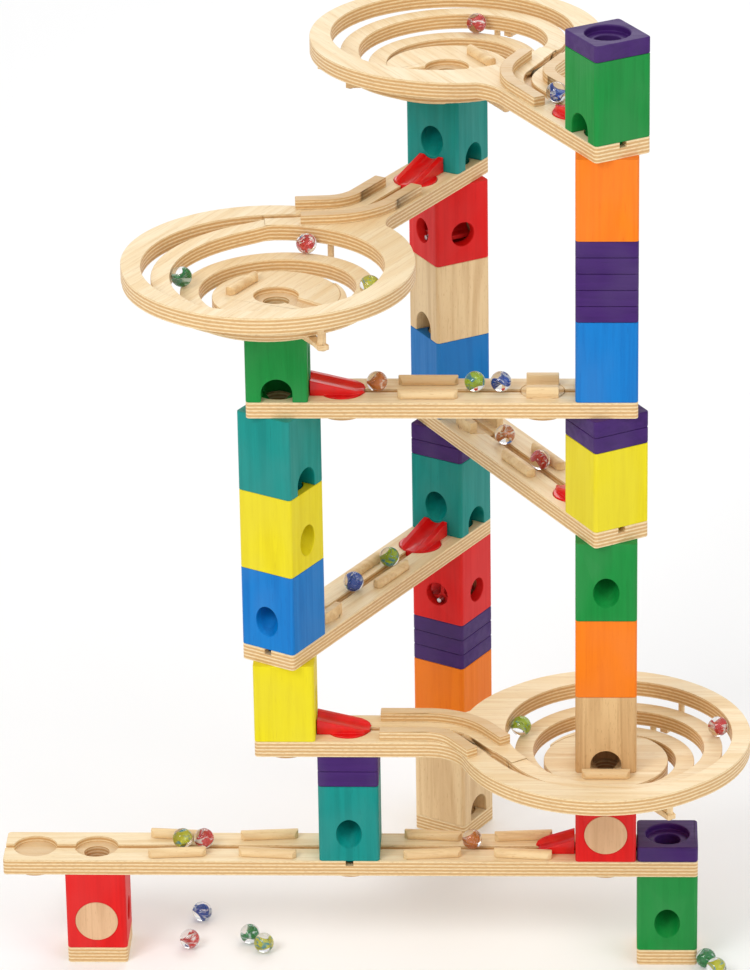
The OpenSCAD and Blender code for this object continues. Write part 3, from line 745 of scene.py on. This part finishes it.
@dataclass
class Studio:
    """Floor, soft lights and the camera."""

    eye: tuple[float, float, float] = (0.17145, -4.0203, 2.1699)
    yaw: float = -2.453
    pitch: float = 24.204
    roll: float = -0.937
    lens: float = 206.1

    def camera(self) -> None:
        """Aims the camera: yaw from straight back, then pitch down, then roll."""
        yaw, pitch, roll = (math.radians(a) for a in (self.yaw, self.pitch, self.roll))
        ahead = Vector((math.sin(yaw) * math.cos(pitch), math.cos(yaw) * math.cos(pitch), -math.sin(pitch)))
        right = Vector((math.cos(yaw), -math.sin(yaw), 0.0))
        up = right.cross(ahead)
        side = math.cos(roll) * right + math.sin(roll) * up
        top = -math.sin(roll) * right + math.cos(roll) * up
        data = bpy.data.cameras.new("camera")
        data.lens, data.sensor_width = self.lens, 36.0
        data.clip_start, data.clip_end = 0.05, 60.0
        camera = bpy.data.objects.new("camera", data)
        camera.matrix_world = Matrix((side, top, -ahead)).transposed().to_4x4()
        camera.location = self.eye
        bpy.context.scene.collection.objects.link(camera)
        bpy.context.scene.camera = camera

    def light(self, name: str, place: tuple[float, float, float], size: float, power: float,
              colour: Colour = (1.0, 1.0, 1.0)) -> None:
        """Adds a square soft light that looks at the middle of the run."""
        data = bpy.data.lights.new(name, "AREA")
        data.size, data.energy, data.color = size, power, colour
        lamp = bpy.data.objects.new(name, data)
        lamp.location = place
        lamp.rotation_euler = (Vector((0.0, 0.0, 0.4)) - Vector(place)).to_track_quat("-Z", "Y").to_euler()
        bpy.context.scene.collection.objects.link(lamp)

    def floor(self) -> None:
        """Lays a wide pale floor."""
        half = 30.0
        mesh = bpy.data.meshes.new("floor")
        mesh.from_pydata([(-half, -half, 0), (half, -half, 0), (half, half, 0), (-half, half, 0)], [], [(0, 1, 2, 3)])
        floor = bpy.data.objects.new("floor", mesh)
        bpy.context.scene.collection.objects.link(floor)
        sheet = NodeSheet("pale_floor")
        shade = sheet.noise(sheet.place((2.0, 2.0, 2.0)), 2.0)
        mesh.materials.append(sheet.finish(sheet.mix(shade, (0.93, 0.93, 0.93), (0.95, 0.95, 0.95)), 0.7,
                                           Specular_IOR_Level=0.2))

    def build(self) -> None:
        """Sets up the whole studio."""
        self.floor()
        self.light("key", (-1.9, -2.6, 3.0), 1.6, 60.0)
        self.light("fill", (2.6, -2.2, 1.8), 2.2, 22.0)
        self.light("back", (0.6, 2.8, 2.6), 2.0, 26.0)
        world = bpy.data.worlds.new("studio")
        world.use_nodes = True
        world.node_tree.nodes["Background"].inputs["Color"].default_value = (1.0, 1.0, 1.0, 1.0)
        world.node_tree.nodes["Background"].inputs["Strength"].default_value = 0.75
        bpy.context.scene.world = world
        bpy.context.scene.view_settings.view_transform = "Standard"
        self.camera()


@dataclass
class MarbleRun:
    """The whole run."""

    finishes: Finishes = field(default_factory=Finishes)

    def stained(self) -> list[object]:
        """The blocks, each in the stain that its name tells, or plain."""
        blocks = []
        for node in sorted(frame["nodes"]):
            if not node.endswith("_block"):
                continue
            colour = node.split("_")[-2]
            if colour == "natural":
                shade = (srgb(226, 190, 138), srgb(178, 132, 82)) if node.startswith("r_") else \
                    (srgb(238, 208, 160), srgb(202, 160, 108))
                blocks.append(Block(node, PlainWood("beech_" + node.split("_")[0], *shade)))
            else:
                blocks.append(Block(node, StainedWood(colour + "_stain", *STAINS[colour])))
        purple = StainedWood("purple_stain", *STAINS["purple"], Grain.LEVEL)
        return [*blocks, Block("top_riser", purple, 1.1 * MM), Block("free_riser", purple, 1.1 * MM),
                RiserStacks(purple)]

    def small_wood(self) -> list[Block]:
        """Sticks, plugs, ties, rockers and ramps."""
        pale = PlainWood("beech_level", srgb(240, 211, 162), srgb(206, 164, 112), Grain.LEVEL)
        plug = PlainWood("beech_plug", srgb(226, 184, 142), srgb(196, 150, 108), Grain.UPRIGHT)
        red = StainedWood("red_stain", *STAINS["red"])
        gloss = GlossPaint("gloss_red", srgb(230, 14, 16))
        return [Block("guide_sticks", pale, 0.5 * MM), Block("bridge_plugs", pale, 0.6 * MM),
                Block("spiral_ties", pale, 0.6 * MM), Block("face_plugs", plug, 0.4 * MM),
                Block("a_rocker", pale, 0.4 * MM), Block("r_rocker", pale, 0.4 * MM),
                Block("c_rocker", red, 0.4 * MM), Block("c_upper_rocker", red, 0.4 * MM),
                Block("rocker_pins", BrushedSteel("pin_steel"), 0.3 * MM), Block("ramps", gloss, 0.6 * MM)]

    def boards(self) -> list[object]:
        """Boards, base plates and spirals."""
        tower_r, tower_l, tower_c = axis_of("top_riser"), axis_of("l_green_block"), axis_of("c_top_teal_block")
        return [PlyBoard("bottom_board", 0.0), PlyBoard("board_l_to_r", 0.0), PlyBoard("board_l_to_c", 60.0),
                PlyBoard("board_c_to_r", 120.0), PlyBoard("base_plates", 0.0),
                Spiral("low_spiral", tower_r, 180.0), Spiral("middle_spiral", tower_l, 60.0),
                Spiral("top_spiral", tower_c, -60.0)]

    def fences(self) -> bpy.types.Object:
        """The fences stand on three tracks, so each point's place is taken from its own track."""
        mesh = Softened("spiral_fences", 0.8 * MM, 40.0).mesh()
        height = points_of(mesh)[:, 2]
        tops = np.array([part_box(node)[1].z for node in ("low_spiral", "middle_spiral", "top_spiral")])
        above = height[:, None] - tops[None, :]
        add_ply(mesh, np.take_along_axis(above, np.abs(above).argmin(1)[:, None], 1)[:, 0] / (13.2 * MM))
        return shown_mesh("spiral_fences_ply", mesh, body_of_node("spiral_fences"), slot_of_node("spiral_fences"),
                          [self.finishes.get(BirchPly("birch_ply_0", 0.0))], ("spiral_fences",))

    def marbles(self) -> list[MarbleSet]:
        """Marbles by node, with their colours in order along x."""
        single = {"marble_s1": "orange", "marble_s2": "green", "marble_s3": "blue", "marble_d1": "blue",
                  "marble_d2": "green", "marble_e1": "red", "marble_e2": "orange", "marble_b1": "orange",
                  "marble_b2": "red", "marble_b3": "yellow"}
        return [MarbleSet(node, (tint,)) for node, tint in single.items()] + [
            MarbleSet("low_spiral_marbles", ("green", "red")),
            MarbleSet("middle_spiral_marbles", ("emerald", "red", "yellow")),
            MarbleSet("top_spiral_marbles", ("red", "blue")),
            MarbleSet("floor_marbles", ("red", "blue", "emerald", "yellow", "emerald", "yellow"))]

    def build(self) -> None:
        """Builds every piece in order."""
        for piece in [*self.stained(), *self.small_wood(), *self.boards()]:
            piece.build(self.finishes)
        self.fences()
        spin = 0
        for group in self.marbles():
            group.build(self.finishes, spin)
            spin += len(group.tints)


def main() -> None:
    """Builds the run and its studio."""
    logging.basicConfig(level=logging.INFO, format="%(message)s")
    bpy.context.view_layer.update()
    MarbleRun().build()
    Studio().build()


if __name__ == "__main__":
    main()
